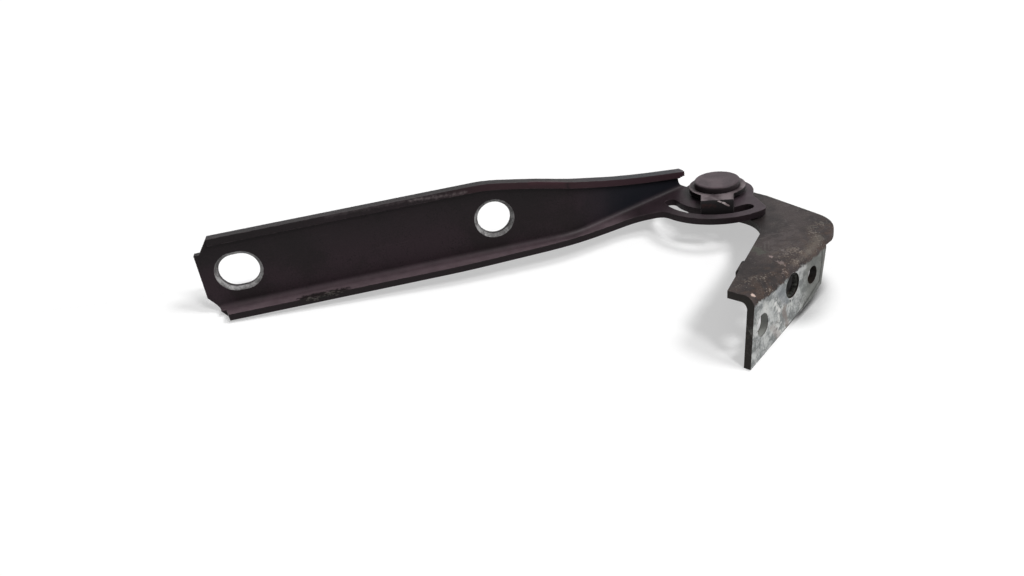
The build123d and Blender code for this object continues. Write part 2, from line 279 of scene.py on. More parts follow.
armPaint = {
    "dark": (0.0125, 0.0088, 0.0100, 1), "light": (0.0235, 0.0145, 0.0185, 1), "upper": (0.010, 0.0085, 0.0090),
    "neckShade": (0.007, 0.009, 0.013), "primer": (0.11, 0.085, 0.09),
    "flange": (0.108, 0.079, 0.089), "cut": (0.011, 0.008, 0.009), "plate": (0.058, 0.042, 0.050),
    "lip": (0.040, 0.019, 0.023), "pit": (0.006, 0.005, 0.0055), "drawn": (0.045, 0.034, 0.038),
    "shadeAndGrime": (0.004, 0.003, 0.003), "rimDark": (0.11, 0.105, 0.105, 1), "rimLight": (0.33, 0.325, 0.325, 1),
    "roughness": 0.42, "shine": 0.12,
    # where the colours change: heights, and places along the arm
    "upperHeights": (18.0, 32.0), "neckShadeHeights": (10.55, 13.0), "neckShadeSpan": (-66.0, -36.0),
    "flangeHeights": (12.4, 10.6), "flangeSpan": (-34.0, -50.0), "lipHeights": (14.0, 14.8), "lipSpan": (-118.0, -88.0),
    "cutHeights": (8.25, 10.25), "plateSpan": (-20.0, 0.0), "plateEnd": (-44.0, -24.0),
    # the web's front face, and where and how steeply the wall turns in
    "webFront": 53.24, "wallCorner": -63.1, "wallSlope": 0.462,
    # bolt holes in the web: x and height of each end of the hole's middle line, mm
    "holes": [((-92.0, 23.7), (-92.0, 23.7)), ((-188.04, 23.7), (-185.74, 23.7))],
    "holeRadius": 6.25, "rim": 1.3,
    "marks": [
        # from, to, reach, feather, ragged, grain, strength, colour
        ((-152.0, 51.9, 38.2), (-117.0, 51.9, 37.8), 0.3, 0.7, 1.8, 0.5, 0.3, (0.10, 0.082, 0.086)),
        ((-121.0, 51.9, 37.7), (-101.0, 51.9, 36.6), 0.3, 0.9, 1.9, 0.9, 0.42, (0.20, 0.165, 0.17)),
        ((-77.0, 51.9, 35.2), (-58.0, 51.9, 31.8), 0.9, 0.6, 0.5, 0.3, 0.6, (0.05, 0.02, 0.026)),
        ((-57.4, 53.2, 19.9), (-57.0, 53.2, 19.3), 0.3, 0.15, 0.3, 1.5, 0.9, (0.12, 0.10, 0.11)),
        ((-25.1, 53.2, 22.3), (-23.3, 53.2, 18.7), 0.8, 0.4, 0.3, 0.5, 0.7, (0.022, 0.010, 0.028)),
        ((-166.5, 47.2, 10.0), (-151.5, 47.2, 10.0), 2.0, 0.5, 3.4, 0.8, 0.92, (0.0065, 0.0055, 0.005)),
        ((-158.5, 47.6, 10.5), (-155.5, 47.8, 10.5), 0.35, 0.2, 1.2, 1.4, 0.7, (0.10, 0.088, 0.082)),
    ],
}


def makeArmPaint():
    look = armPaint
    material, tree, shader, place = newFinish("arm paint")
    x, y, z = wire(tree, "SeparateXYZ", {"Vector": place}).outputs
    facing = faceTurn(tree)
    paint = useGroup(tree, mottleGroup, {"Place": place, "Dark": look["dark"], "Light": look["light"],
                                         "Drift": 0.05, "Grain": 1.5, "Speckle": 0.5})
    colour = tint(tree, ramp(tree, z, *look["upperHeights"], 0.0, 0.55), paint["Color"], look["upper"])
    pits = useGroup(tree, freckleGroup, {"Place": place, "Size": 0.7, "Thickness": 0.4, "Patch": 0.2})["Mask"]
    colour = tint(tree, maths(tree, "MULTIPLY", pits, 0.5), colour, look["pit"])
    # painted shade: towards the pivot the wall turns in, away from the light, so the colour is colder and darker
    neckShade = times(tree, ramp(tree, x, *look["neckShadeSpan"]), ramp(tree, z, *look["neckShadeHeights"]))
    colour = tint(tree, maths(tree, "MULTIPLY", neckShade, 0.8), colour, look["neckShade"])
    patchy = ramp(tree, noiseAt(tree, place, 0.25, 4.0, 0.6), 0.3, 0.7, 0.7, 1.0)
    # painted light: the upward faces of the plate near the pivot are lighter
    plate = times(tree, ramp(tree, facing["Z"], 0.7, 0.95), ramp(tree, x, *look["plateSpan"]),
                  ramp(tree, x, *look["plateEnd"]), patchy)
    colour = tint(tree, plate, colour, look["plate"])
    # how far a place stands in front of the wall, which turns in towards the pivot
    turned = maths(tree, "MAXIMUM", maths(tree, "SUBTRACT", x, look["wallCorner"]), 0.0)
    turned = maths(tree, "MULTIPLY", turned, look["wallSlope"])
    proud = maths(tree, "ADD", maths(tree, "SUBTRACT", look["webFront"], y), turned)
    # painted light: the upward faces of the flange in front of the web are made paler, more so up to its front edge
    low = maths(tree, "MAXIMUM", ramp(tree, facing["Z"], 0.2, 0.8), ramp(tree, z, 10.45, 10.9))
    flange = times(tree, low, ramp(tree, z, *look["flangeHeights"]), ramp(tree, x, *look["flangeSpan"]),
                   ramp(tree, facing["Y"], 0.5, 0.2), patchy, ramp(tree, proud, 0.2, 4.2, 0.32, 1.0))
    colour = tint(tree, flange, colour, look["flange"])
    # the lip along the top
    lip = times(tree, ramp(tree, proud, 0.45, 0.9), ramp(tree, z, *look["lipHeights"]),
                ramp(tree, facing["Z"], 0.6, 0.2), ramp(tree, x, *look["lipSpan"], 0.0, 0.7))
    colour = tint(tree, lip, colour, look["lip"])
    # faint drawn lines of the pressing, along the arm
    drawn = useGroup(tree, scratchGroup, {"Place": place, "Turn": (0.0, 0.0, 0.0), "Spacing": 0.55,
                                          "Length": 30.0, "Amount": 0.35})["Mask"]
    colour = tint(tree, drawn, colour, look["drawn"])
    colour = layMarks(tree, place, colour, look["marks"])
    # bare bevels round the bolt holes, on the front face
    flat = wire(tree, "CombineXYZ", {"X": x, "Y": 0.0, "Z": z}).outputs[0]
    rims = None
    for start, end in look["holes"]:
        ring = useGroup(tree, markGroup, {
            "Place": flat, "From": (start[0], 0.0, start[1]), "To": (end[0], 0.0, end[1]),
            "Reach": look["holeRadius"] + look["rim"], "Feather": 0.12, "Ragged": 0.22, "Grain": 0.9})["Mask"]
        rims = ring if rims is None else maths(tree, "MAXIMUM", rims, ring)
    rims = maths(tree, "MULTIPLY", rims, ramp(tree, y, 54.6, 54.2))
    rimTone = useGroup(tree, mottleGroup, {"Place": place, "Dark": look["rimDark"], "Light": look["rimLight"],
                                           "Drift": 0.25, "Grain": 1.6, "Speckle": 0.4})["Color"]
    colour = tint(tree, rims, colour, rimTone)
    cut = times(tree, band(tree, z, *look["cutHeights"], 0.12), ramp(tree, x, -20.0, -40.0, 0.25, 0.9))
    colour = tint(tree, cut, colour, look["cut"])
    worn = useGroup(tree, edgeGroup, {"Place": place, "Width": 0.45, "Patchiness": 0.55, "Grain": 0.35})
    colour = tint(tree, maths(tree, "MULTIPLY", worn["Mask"], 0.5), colour, look["primer"])
    # painted shade and grime in the hollows towards the pivot
    hollow = times(tree, worn["Hollow"], ramp(tree, x, -60.0, -30.0, 0.0, 0.6))
    colour = tint(tree, hollow, colour, look["shadeAndGrime"])
    grain = noiseAt(tree, place, 2.6, 5.0, 0.65)
    roughness = roughFrom(tree, grain, look["roughness"])
    roughness = maths(tree, "ADD", roughness, maths(tree, "MULTIPLY", drawn, 0.1))
    height = maths(tree, "ADD", grain, maths(tree, "MULTIPLY", paint["Fleck"], 0.2))
    height = maths(tree, "SUBTRACT", height, maths(tree, "MULTIPLY", rims, 0.3))
    finishSurface(tree, shader, colour, roughness, height, bump=0.035, edge=0.3)
    shader.inputs["Specular IOR Level"].default_value = look["shine"]
    return material


bracketSteel = {
    "paintDark": (0.016, 0.0118, 0.0118, 1), "paintLight": (0.043, 0.0325, 0.0315, 1),
    "zincDark": (0.17, 0.18, 0.18, 1), "zincLight": (0.47, 0.48, 0.47, 1),
    "zincFar": (0.100, 0.104, 0.094), "nearWall": (0.30, 0.31, 0.29),
    "cut": (0.014, 0.012, 0.010), "speck": (0.20, 0.17, 0.145), "rust": (0.055, 0.034, 0.025),
    "rubbed": (0.12, 0.10, 0.10), "dust": (0.11, 0.10, 0.09), "stain": (0.13, 0.115, 0.10),
    "wornEdge": (0.20, 0.17, 0.16), "shadeAndGrime": (0.008, 0.007, 0.006),
    # the slotted hole, and the heights over which the paint gives way to zinc
    "nearHole": (-16.06, -11.75, -5.2), "paintEnds": (4.4, 3.4),
    "roughness": 0.47, "shine": 0.18,
    "marks": [
        ((-5.6, 18.6, 7.2), (-4.6, 14.6, 7.2), 1.5, 0.8, 2.6, 0.5, 0.6, (0.062, 0.066, 0.052)),
        ((-3.3, 10.6, 7.2), (-3.0, 9.6, 7.2), 0.45, 0.2, 1.6, 1.3, 0.9, (0.26, 0.20, 0.19)),
        ((-2.8, 5.6, 7.2), (-1.6, 3.2, 7.2), 0.7, 0.3, 3.2, 1.2, 0.75, (0.22, 0.17, 0.16)),
        ((-2.3, -0.8, 7.2), (-4.5, -3.0, 7.0), 0.7, 0.3, 3.4, 1.3, 0.7, (0.24, 0.18, 0.16)),
        ((2.3, 13.0, 7.2), (2.8, 12.0, 7.2), 0.6, 0.3, 2.8, 1.2, 0.55, (0.17, 0.15, 0.14)),
        ((-19.2, -11.6, 7.2), (-17.4, -12.4, 7.0), 0.7, 0.3, 1.0, 0.9, 0.95, (0.60, 0.46, 0.40)),
        ((-19.4, -14.4, 5.9), (-11.3, -8.4, 6.3), 0.5, 0.3, 0.9, 0.7, 0.75, (0.075, 0.045, 0.035)),
        ((-11.3, -8.4, 6.3), (0.5, 0.3, 6.4), 0.4, 0.3, 1.0, 0.7, 0.6, (0.085, 0.055, 0.045)),
        ((3.2, 37.0, 6.8), (-1.6, 24.6, 6.8), 0.7, 0.5, 3.6, 0.7, 0.85, (0.010, 0.009, 0.008)),
        # the next two marks: painted shade of the arm's sector on the plate beside it
        ((6.5, 37.5, 7.2), (12.0, 40.0, 7.2), 2.4, 1.6, 2.0, 0.3, 0.55, (0.014, 0.011, 0.011)),
        ((4.6, 39.0, 7.2), (3.6, 30.0, 7.2), 2.6, 2.0, 1.6, 0.3, 0.45, (0.014, 0.011, 0.011)),
        ((-12.4, 12.6, 6.3), (-14.3, 8.2, 6.3), 1.0, 0.5, 1.2, 0.6, 0.9, (0.008, 0.007, 0.007)),
        ((6.1, 26.9, 7.2), (7.4, 26.4, 7.2), 0.35, 0.2, 0.5, 1.4, 0.9, (0.012, 0.009, 0.009)),
        ((-0.6, 20.9, 7.2), (-2.9, 15.4, 7.2), 0.25, 0.2, 0.4, 0.9, 0.4, (0.09, 0.08, 0.075)),
        ((1.0, 21.2, 7.2), (-1.4, 15.6, 7.2), 0.2, 0.2, 0.4, 0.9, 0.4, (0.09, 0.075, 0.07)),
        ((18.2, 17.0, 7.2), (10.6, 9.4, 6.6), 1.5, 1.5, 3.2, 1.4, 0.5, (0.135, 0.118, 0.10)),
        ((10.6, 9.4, 6.6), (1.5, 2.4, 6.8), 0.9, 1.0, 3.4, 1.6, 0.45, (0.15, 0.125, 0.105)),
    ],
    "flangeMarks": [
        ((-7.9, -5.8, 3.8), (-3.6, -2.7, -3.4), 1.9, 0.9, 1.6, 0.4, 0.6, (0.17, 0.185, 0.20)),
        ((-9.3, -6.8, -0.9), (-6.6, -4.8, -6.5), 0.7, 0.6, 4.0, 0.7, 0.8, (0.66, 0.66, 0.64)),
        ((-7.4, -5.4, -5.5), (-7.9, -5.8, -12.5), 0.8, 0.6, 4.0, 0.7, 0.7, (0.62, 0.62, 0.60)),
        ((-4.7, -3.5, -5.9), (-2.5, -1.9, -15.3), 1.2, 0.8, 2.4, 0.45, 0.7, (0.20, 0.165, 0.15)),
        ((-11.3, -8.2, -9.6), (-5.3, -3.9, -18.5), 1.3, 0.8, 1.4, 0.4, 0.4, (0.30, 0.25, 0.235)),
        ((-14.8, -10.8, 1.6), (-14.0, -10.2, -2.0), 1.3, 0.8, 1.2, 0.5, 0.5, (0.60, 0.60, 0.58)),
        ((4.1, 3.0, 4.4), (7.0, 5.1, 3.0), 1.2, 0.8, 1.0, 0.5, 0.5, (0.58, 0.58, 0.57)),
        ((-1.4, -1.1, -4.9), (-1.2, -0.9, -5.4), 0.4, 0.2, 0.4, 1.2, 0.9, (0.03, 0.03, 0.03)),
        ((-15.4, -11.2, -1.9), (-14.6, -10.6, -2.1), 0.3, 0.2, 0.3, 1.2, 0.6, (0.12, 0.12, 0.12)),
        ((-13.5, -9.9, -17.6), (6.0, 4.4, -12.2), 0.4, 0.3, 0.6, 0.8, 0.8, (0.045, 0.042, 0.042)),
        ((6.0, 4.4, -12.2), (15.6, 11.4, -7.4), 0.4, 0.3, 0.6, 0.8, 0.8, (0.04, 0.038, 0.036)),
        ((17.0, 12.5, 3.4), (17.0, 12.5, -0.7), 0.45, 0.3, 0.5, 0.9, 0.8, (0.03, 0.028, 0.026)),
        ((17.0, 12.5, -0.7), (15.6, 11.4, -7.4), 0.45, 0.3, 0.5, 0.9, 0.8, (0.03, 0.028, 0.026)),
    ],
}


def makeBracketSteel():
    look = bracketSteel
    material, tree, shader, place = newFinish("bracket steel")
    z = wire(tree, "SeparateXYZ", {"Vector": place}).outputs["Z"]
    face = wire(tree, "TexCoord").outputs["Normal"]
    paint = useGroup(tree, mottleGroup, {"Place": place, "Dark": look["paintDark"], "Light": look["paintLight"],
                                         "Drift": 0.08, "Grain": 0.8, "Speckle": 0.35})
    rubbed = useGroup(tree, freckleGroup, {"Place": place, "Size": 3.2, "Thickness": 0.55, "Patch": 0.05})["Mask"]
    colour = tint(tree, maths(tree, "MULTIPLY", rubbed, 0.2), paint["Color"], look["rubbed"])
    # rust and pale specks gather along the bend
    fromFace = dot(tree, place, flangeOut)
    rusty = ramp(tree, noiseAt(tree, place, 0.28, 6.0, 0.66), 0.42, 0.62)
    colour = tint(tree, times(tree, ramp(tree, fromFace, -15.0, -2.0), rusty, 0.75), colour, look["rust"])
    specks = useGroup(tree, freckleGroup, {"Place": place, "Size": 0.8, "Thickness": 0.6, "Patch": 0.13})["Mask"]
    colour = tint(tree, times(tree, specks, ramp(tree, fromFace, -13.0, -3.0, 0.05, 0.7)), colour, look["speck"])
    dust = useGroup(tree, freckleGroup, {"Place": place, "Size": 0.55, "Thickness": 0.42, "Patch": 0.3})["Mask"]
    colour = tint(tree, maths(tree, "MULTIPLY", dust, 0.35), colour, look["dust"])
    colour = layMarks(tree, place, colour, look["marks"])
    # the bolted face is bare zinc, and the paint ends in a ragged line under the bend
    ragged = maths(tree, "SUBTRACT", noiseAt(tree, place, 0.35, 6.0, 0.65), 0.5)
    ragged = maths(tree, "MULTIPLY", ragged, 5.0)
    bare = times(tree, ramp(tree, dot(tree, face, flangeOut), 0.72, 0.9),
                 ramp(tree, maths(tree, "ADD", z, ragged), *look["paintEnds"]))
    zinc = useGroup(tree, mottleGroup, {"Place": place, "Dark": look["zincDark"], "Light": look["zincLight"],
                                        "Drift": 0.22, "Grain": 1.1, "Speckle": 0.45})
    # duller towards the far end
    towardFar = ramp(tree, maths(tree, "ADD", dot(tree, place, flangeAlong), ragged), 2.0, 13.0, 0.0, 0.85)
    metal = tint(tree, towardFar, zinc["Color"], look["zincFar"])
    metal = layMarks(tree, place, metal, look["flangeMarks"])
    stain = useGroup(tree, freckleGroup, {"Place": place, "Size": 1.3, "Thickness": 0.5, "Patch": 0.12})["Mask"]
    metal = tint(tree, maths(tree, "MULTIPLY", stain, 0.4), metal, look["stain"])
    colour = tint(tree, bare, colour, metal)
    # sheared ends and the walls of the holes are dark, but for the slotted hole
    ends = ramp(tree, maths(tree, "ABSOLUTE", dot(tree, face, flangeAlong)), 0.55, 0.8)
    inFlange = times(tree, band(tree, fromFace, -2.4, -0.2, 0.08), ramp(tree, z, 3.6, 3.1))
    inPlate = times(tree, band(tree, z, 4.8, 7.0, 0.08), ramp(tree, fromFace, -3.9, -4.4))
    cut = maths(tree, "MAXIMUM", ends, maths(tree, "MAXIMUM", inFlange, inPlate))
    paler = ramp(tree, maths(tree, "ADD", gapTo(tree, place, look["nearHole"]), ragged), 6.5, 4.5)
    colour = tint(tree, times(tree, cut, maths(tree, "SUBTRACT", 0.88, paler)), colour, look["cut"])
    colour = tint(tree, times(tree, inFlange, paler, 0.85), colour, look["nearWall"])
    worn = useGroup(tree, edgeGroup, {"Place": place, "Width": 0.5, "Patchiness": 0.7, "Grain": 0.4})
    colour = tint(tree, maths(tree, "MULTIPLY", worn["Mask"], 0.45), colour, look["wornEdge"])
    # painted shade and grime in the hollows
    colour = tint(tree, maths(tree, "MULTIPLY", worn["Hollow"], 0.5), colour, look["shadeAndGrime"])
    grain = noiseAt(tree, place, 1.8, 6.0, 0.68)
    roughness = roughFrom(tree, grain, look["roughness"], 0.08, 0.14)
    roughness = maths(tree, "ADD", roughness, maths(tree, "MULTIPLY", bare, 0.08))
    tree.links.new(times(tree, bare, 0.3, maths(tree, "SUBTRACT", 1.0, cut)), shader.inputs["Metallic"])
    height = maths(tree, "ADD", grain, maths(tree, "MULTIPLY", stain, -0.4))
    height = maths(tree, "ADD", height, maths(tree, "MULTIPLY", bare, -0.5))
    finishSurface(tree, shader, colour, roughness, height, bump=0.06, edge=0.35)
    shader.inputs["Specular IOR Level"].default_value = look["shine"]
    return material


rivetPaint = {
    "dark": (0.060, 0.043, 0.050, 1), "light": (0.098, 0.072, 0.081, 1), "rubbed": (0.17, 0.14, 0.147),
    "side": (0.020, 0.014, 0.016), "shadeAndGrime": (0.006, 0.005, 0.005),
    "roughness": 0.42, "shine": 0.14,
}


def makeRivetPaint():
    look = rivetPaint
    material, tree, shader, place = newFinish("rivet paint")
    paint = useGroup(tree, mottleGroup, {"Place": place, "Dark": look["dark"], "Light": look["light"],
                                         "Drift": 0.12, "Grain": 1.0, "Speckle": 0.25})
    colour = paint["Color"]
    swept = useGroup(tree, scratchGroup, {"Place": place, "Turn": (0.0, 0.0, 0.35), "Spacing": 0.5,
                                          "Length": 9.0, "Amount": 0.6})["Mask"]
    colour = tint(tree, swept, colour, look["rubbed"])
    # painted shade: the head's sides and fillet are darker than its top
    colour = tint(tree, ramp(tree, faceTurn(tree)["Z"], 0.92, 0.45), colour, look["side"])
    worn = useGroup(tree, edgeGroup, {"Place": place, "Width": 0.5, "Patchiness": 0.5, "Grain": 0.5})
    colour = tint(tree, maths(tree, "MULTIPLY", worn["Mask"], 0.5), colour, look["rubbed"])
    # painted shade and grime in the hollows
    colour = tint(tree, maths(tree, "MULTIPLY", worn["Hollow"], 0.7), colour, look["shadeAndGrime"])
    grain = noiseAt(tree, place, 2.2, 5.0, 0.65)
    roughness = roughFrom(tree, grain, look["roughness"])
    finishSurface(tree, shader, colour, roughness, grain, bump=0.04, edge=0.3)
    shader.inputs["Specular IOR Level"].default_value = look["shine"]
    return material


stopPaint = {
    "dark": (0.075, 0.058, 0.063, 1), "light": (0.20, 0.165, 0.173, 1), "side": (0.0045, 0.0035, 0.004),
    # the tab runs this way from the pivot, and its front starts this far out
    "tabWay": (-0.368, -0.930, 0.0), "tabFront": 14.9,
    "marks": [
        ((-12.0, 50.6, 12.4), (-8.6, 49.2, 12.2), 0.7, 0.5, 1.4, 0.7, 0.5, (0.022, 0.009, 0.0085)),
        ((-6.0, 50.4, 13.3), (-4.3, 47.6, 12.7), 0.4, 0.2, 0.8, 0.9, 0.9, (0.36, 0.31, 0.31)),
        ((-4.3, 47.6, 12.7), (-3.4, 46.6, 12.3), 0.35, 0.2, 0.8, 0.9, 0.8, (0.20, 0.16, 0.16)),
    ],
    "wornEdge": (0.16, 0.14, 0.14), "shadeAndGrime": (0.006, 0.005, 0.005),
    "roughness": 0.42, "shine": 0.12,
}


def makeStopPaint():
    look = stopPaint
    material, tree, shader, place = newFinish("stop paint")
    paint = useGroup(tree, mottleGroup, {"Place": place, "Dark": look["dark"], "Light": look["light"],
                                         "Drift": 0.14, "Grain": 1.0, "Speckle": 0.3})
    # painted shade: faces that don't look upward are darker
    colour = tint(tree, ramp(tree, faceTurn(tree)["Z"], 0.6, 0.2), paint["Color"], look["side"])
    # painted shade: the bent tab's front is darker
    fromPivot = wire(tree, "VectorMath", {0: place, 1: tuple(pivot / mm)}, operation="SUBTRACT").outputs[0]
    reach = dot(tree, fromPivot, look["tabWay"])
    ragged = maths(tree, "MULTIPLY", maths(tree, "SUBTRACT", noiseAt(tree, place, 0.6, 4.0, 0.6), 0.5), 1.2)
    front = ramp(tree, maths(tree, "ADD", reach, ragged), look["tabFront"] - 0.3, look["tabFront"] + 0.4)
    colour = tint(tree, front, colour, look["side"])
    colour = layMarks(tree, place, colour, look["marks"])
    worn = useGroup(tree, edgeGroup, {"Place": place, "Width": 0.45, "Patchiness": 0.45, "Grain": 0.5})
    colour = tint(tree, maths(tree, "MULTIPLY", worn["Mask"], 0.55), colour, look["wornEdge"])
    # painted shade and grime in the hollows
    colour = tint(tree, maths(tree, "MULTIPLY", worn["Hollow"], 0.7), colour, look["shadeAndGrime"])
    grain = noiseAt(tree, place, 2.2, 5.0, 0.65)
    roughness = roughFrom(tree, grain, look["roughness"])
    roughness = maths(tree, "ADD", roughness, maths(tree, "MULTIPLY", front, 0.4))
    finishSurface(tree, shader, colour, roughness, grain, bump=0.04, edge=0.25)
    shader.inputs["Specular IOR Level"].default_value = look["shine"]
    return material


plainMetals = {
    # dark, light, shade and grime in hollows, roughness, metallic
    "spring steel": ((0.22, 0.21, 0.20, 1), (0.42, 0.41, 0.40, 1), (0.03, 0.024, 0.02), 0.34, 0.9),
    "bush bronze": ((0.30, 0.19, 0.09, 1), (0.50, 0.34, 0.18, 1), (0.03, 0.02, 0.012), 0.36, 0.95),
    "tail zinc": ((0.30, 0.30, 0.29, 1), (0.52, 0.52, 0.50, 1), (0.05, 0.04, 0.03), 0.42, 0.75),
}


def makePlainMetal(name):
    dark, light, shadeAndGrime, rough, metallic = plainMetals[name]
    material, tree, shader, place = newFinish(name)
    metal = useGroup(tree, mottleGroup, {"Place": place, "Dark": dark, "Light": light,
                                         "Drift": 0.2, "Grain": 1.3, "Speckle": 0.35})
    colour = metal["Color"]
    turned = useGroup(tree, scratchGroup, {"Place": place, "Turn": (0.0, 0.0, 0.9), "Spacing": 0.35,
                                           "Length": 6.0, "Amount": 0.5})["Mask"]
    colour = tint(tree, turned, colour, light[:3])
    worn = useGroup(tree, edgeGroup, {"Place": place, "Width": 0.3, "Patchiness": 0.4, "Grain": 0.5})
    # painted shade and grime in the hollows
    colour = tint(tree, maths(tree, "MULTIPLY", worn["Hollow"], 0.75), colour, shadeAndGrime)
    grain = noiseAt(tree, place, 2.4, 5.0, 0.65)
    roughness = roughFrom(tree, grain, rough, 0.06, 0.12)
    finishSurface(tree, shader, colour, roughness, grain, bump=0.03, edge=0.15)
    shader.inputs["Metallic"].default_value = metallic
    return material


thrustPlastic = {"dark": (0.012, 0.012, 0.012, 1), "light": (0.03, 0.029, 0.028, 1)}


def makeThrustPlastic():
    material, tree, shader, place = newFinish("thrust plastic")
    body = useGroup(tree, mottleGroup, {"Place": place, "Dark": thrustPlastic["dark"], "Light": thrustPlastic["light"],
                                        "Drift": 0.2, "Grain": 1.4, "Speckle": 0.3})
    grain = noiseAt(tree, place, 3.0, 4.0, 0.6)
    roughness = ramp(tree, grain, 0.3, 0.7, 0.5, 0.68, smooth=False)
    finishSurface(tree, shader, body["Color"], roughness, grain, bump=0.03, edge=0.15)
    return material


def makeGrime(name, dark, light):
    material, tree, shader, place = newFinish(name)
    body = useGroup(tree, mottleGroup, {"Place": place, "Dark": (*dark, 1), "Light": (*light, 1),
                                        "Drift": 0.9, "Grain": 3.0, "Speckle": 0.5})
    grain = noiseAt(tree, place, 4.0, 5.0, 0.7)
    roughness = ramp(tree, grain, 0.3, 0.7, 0.5, 0.8, smooth=False)
    finishSurface(tree, shader, body["Color"], roughness, grain, bump=0.08, edge=0.1)
    shader.inputs["Specular IOR Level"].default_value = 0.2
    return material


# small lumps that the CAD nodes don't carry

def finishLump(name, mesh, finish, body):
    piece = bpy.data.objects.new(name, mesh)
    bpy.context.collection.objects.link(piece)
    mesh.materials.append(finish)
    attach(piece, body)
    return piece


def beadMesh(name, shape, rings):
    # joins closed rings of points, one after the other, into one smooth bead
    for first, second in zip(rings, rings[1:] + rings[:1]):
        for index in range(len(first)):
            after = (index + 1) % len(first)
            shape.faces.new((first[index], first[after], second[after], second[index]))
    bmesh.ops.recalc_face_normals(shape, faces=shape.faces)
    mesh = bpy.data.meshes.new(name)
    shape.to_mesh(mesh)
    shape.free()
    mesh.polygons.foreach_set("use_smooth", [True] * len(mesh.polygons))
    return mesh


edgeBurrs = {
    "from": (-165.0, 46.75, 10.25), "to": (-152.5, 46.75, 10.25), "count": 15, "size": (0.45, 1.0), "seed": 4,
    "stretch": (1.3, 0.42, 0.6), "dark": (0.006, 0.005, 0.0045), "light": (0.055, 0.047, 0.043),
}


def buildEdgeBurrs():
    # torn steel along the front edge of the arm's flange
    look = edgeBurrs
    chance = random.Random(look["seed"])
    start, end = Vector(look["from"]), Vector(look["to"])
    shape = bmesh.new()
    for index in range(look["count"]):
        share = (index + chance.uniform(-0.35, 0.35)) / (look["count"] - 1)
        middle = start.lerp(end, share) + Vector((0, chance.uniform(-0.12, 0.1), chance.uniform(-1.1, 0.1)))
        size = chance.uniform(*look["size"])
        lump = bmesh.ops.create_icosphere(shape, subdivisions=2, radius=1.0)["verts"]
        for vertex in lump:
            bulge = 1.0 + 0.7 * noise.noise(vertex.co * 1.3 + Vector((index * 7.1, 0.0, 0.0)))
            vertex.co = (middle + vertex.co * Vector(look["stretch"]) * size * bulge) * mm
    mesh = bpy.data.meshes.new("edge_burrs")
    shape.to_mesh(mesh)
    shape.free()
    return finishLump("edge_burrs", mesh, makeGrime("torn edge", look["dark"], look["light"]), "arm")


oldGrease = {
    "inner": 8.7, "outer": 10.1, "low": 10.58, "high": 11.40, "steps": 120, "seed": 2.7,
    "dark": (0.004, 0.0035, 0.0035), "light": (0.018, 0.015, 0.015),
}


def buildOldGrease():
    # a ragged bead squeezed out from under the stop washer
    look = oldGrease
    shape = bmesh.new()
    rings = []
    low, high = look["low"], look["high"]
    centre = Vector((pivot.x, pivot.y, 0))
    for step in range(look["steps"]):
        angle = 2 * math.pi * step / look["steps"]
        way = Vector((math.cos(angle), math.sin(angle), 0))
        swell = noise.noise(way * 3.1 + Vector((look["seed"], 0, 0))) + 0.5 * noise.noise(way * 9.0)
        outer = look["outer"] + 0.9 * swell
        middle = (low + high) / 2 + 0.1 * swell
        points = [(look["inner"], low), (outer - 0.35, low), (outer, middle),
                  (outer - 0.3, high), (look["inner"], high)]
        rings.append([shape.verts.new(centre + (way * r + Vector((0, 0, z))) * mm) for r, z in points])
    finish = makeGrime("old grease", look["dark"], look["light"])
    return finishLump("old_grease", beadMesh("old_grease", shape, rings), finish, "bracket")


oldSealer = {
    "radius": 4.42, "steps": 72, "depth": (-2.2, -0.5), "reach": 0.9, "seed": 5.2,
    "dark": (0.004, 0.004, 0.0035), "light": (0.028, 0.03, 0.025),
}


def buildOldSealer():
    # dried sealer left on the wall of the middle hole, thick in places
    look = oldSealer
    shape = bmesh.new()
    outward, along, upward = Vector(flangeOut), Vector(flangeAlong), Vector((0, 0, 1))
    back, front = look["depth"]
    rings = []
    for step in range(look["steps"]):
        angle = 2 * math.pi * step / look["steps"]
        way = along * math.cos(angle) + upward * math.sin(angle)
        swell = noise.noise(way * 1.7 + Vector((look["seed"], 0, 0))) + 0.8 * noise.noise(way * 6.0) + 0.35
        reach = 0.15 + look["reach"] * max(0.0, swell) * 1.4
        points = [(look["radius"], back), (look["radius"] - reach * 0.7, back + 0.2),
                  (look["radius"] - reach, (back + front) / 2), (look["radius"] - reach * 0.6, front - 0.1),
                  (look["radius"], front)]
        rings.append([shape.verts.new((way * r + outward * d) * mm) for r, d in points])
    finish = makeGrime("old sealer", look["dark"], look["light"])
    return finishLump("old_sealer", beadMesh("old_sealer", shape, rings), finish, "bracket")


buildEdgeBurrs()
buildOldGrease()
buildOldSealer()
print("burrs, grease and sealer")

finishes = {
    "bonnet_arm": makeArmPaint(),
    "body_bracket": makeBracketSteel(),
    "pivot_rivet": makeRivetPaint(),
    "stop_washer": makeStopPaint(),
    "spring_washer": makePlainMetal("spring steel"),
    "pivot_bush": makePlainMetal("bush bronze"),
    "tail_washer": makePlainMetal("tail zinc"),
    "thrust_washer": makeThrustPlastic(),
}
for name, finish in finishes.items():
    for slot in nodes[name].material_slots:
        slot.material = finish
print("finishes on", len(finishes), "nodes")


# floor, lamps and camera

